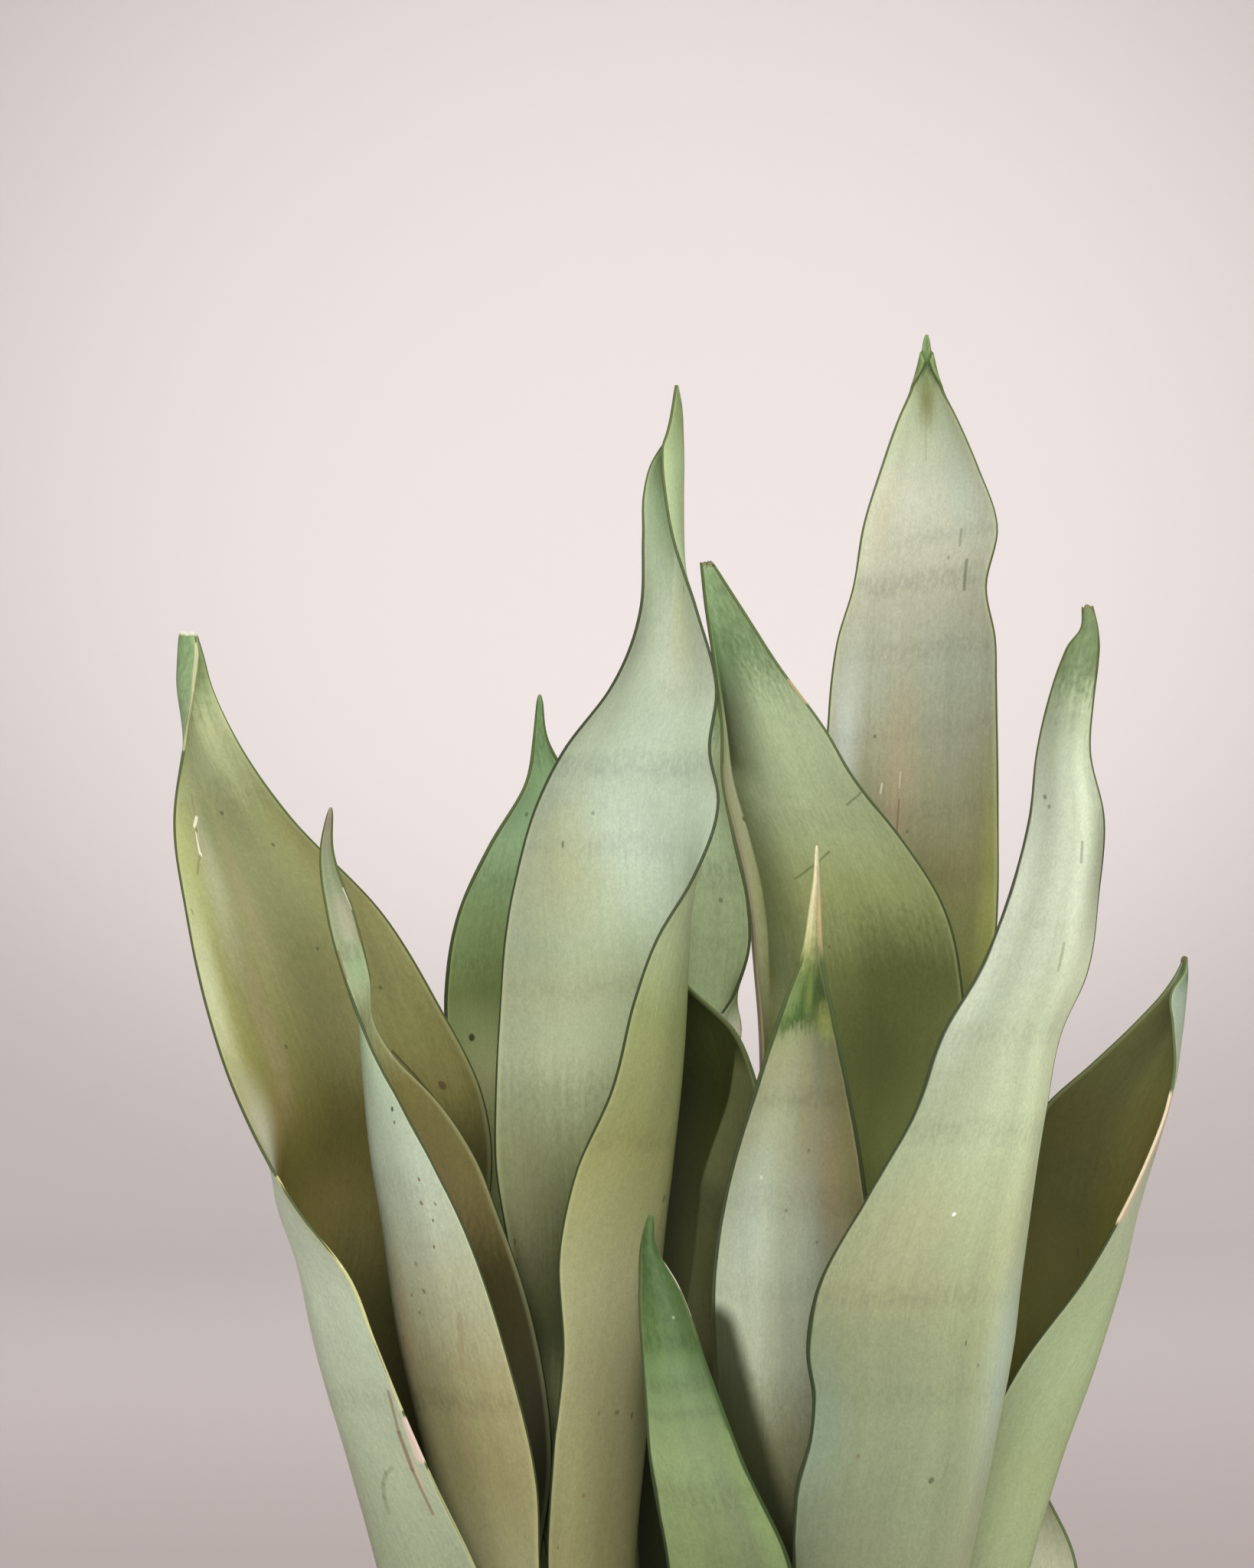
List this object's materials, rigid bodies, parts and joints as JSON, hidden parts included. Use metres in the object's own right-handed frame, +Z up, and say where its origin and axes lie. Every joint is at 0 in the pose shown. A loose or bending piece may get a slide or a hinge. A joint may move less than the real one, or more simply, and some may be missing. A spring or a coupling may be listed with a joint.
{
  "type": "potted moonshine snake plant",
  "caption": "An upright snake plant with broad silvery green blades, some cupped and some folded, standing in soil in a plain tapered round pot.",
  "frame": {"origin": "middle of the pot's flat underside, on the surface it stands on", "axes": "+Z up, along the blades; -Y to the front, the side the picture shows; +X to the right as seen from the front"},
  "size_m": [0.3111, 0.2, 0.674],
  "materials": {
    "leaf_pale_green": "satin",
    "leaf_deep_green": "satin",
    "pot_ceramic": "matte",
    "soil": "matte"
  },
  "bodies": {
    "root": {"pot": "pot_ceramic", "soil": "soil", "leaf_far_left": "leaf_pale_green", "leaf_twisted_spike": "leaf_pale_green", "leaf_centre": "leaf_pale_green", "leaf_behind_centre": "leaf_deep_green", "leaf_shaded": "leaf_deep_green", "leaf_pale_back": "leaf_pale_green", "leaf_cut_tip": "leaf_pale_green", "leaf_tall": "leaf_pale_green", "leaf_cream_spine": "leaf_pale_green", "leaf_front": "leaf_pale_green", "leaf_front_right": "leaf_pale_green", "leaf_far_right": "leaf_pale_green", "leaf_short_back": "leaf_pale_green"}
  },
  "joints": []
}
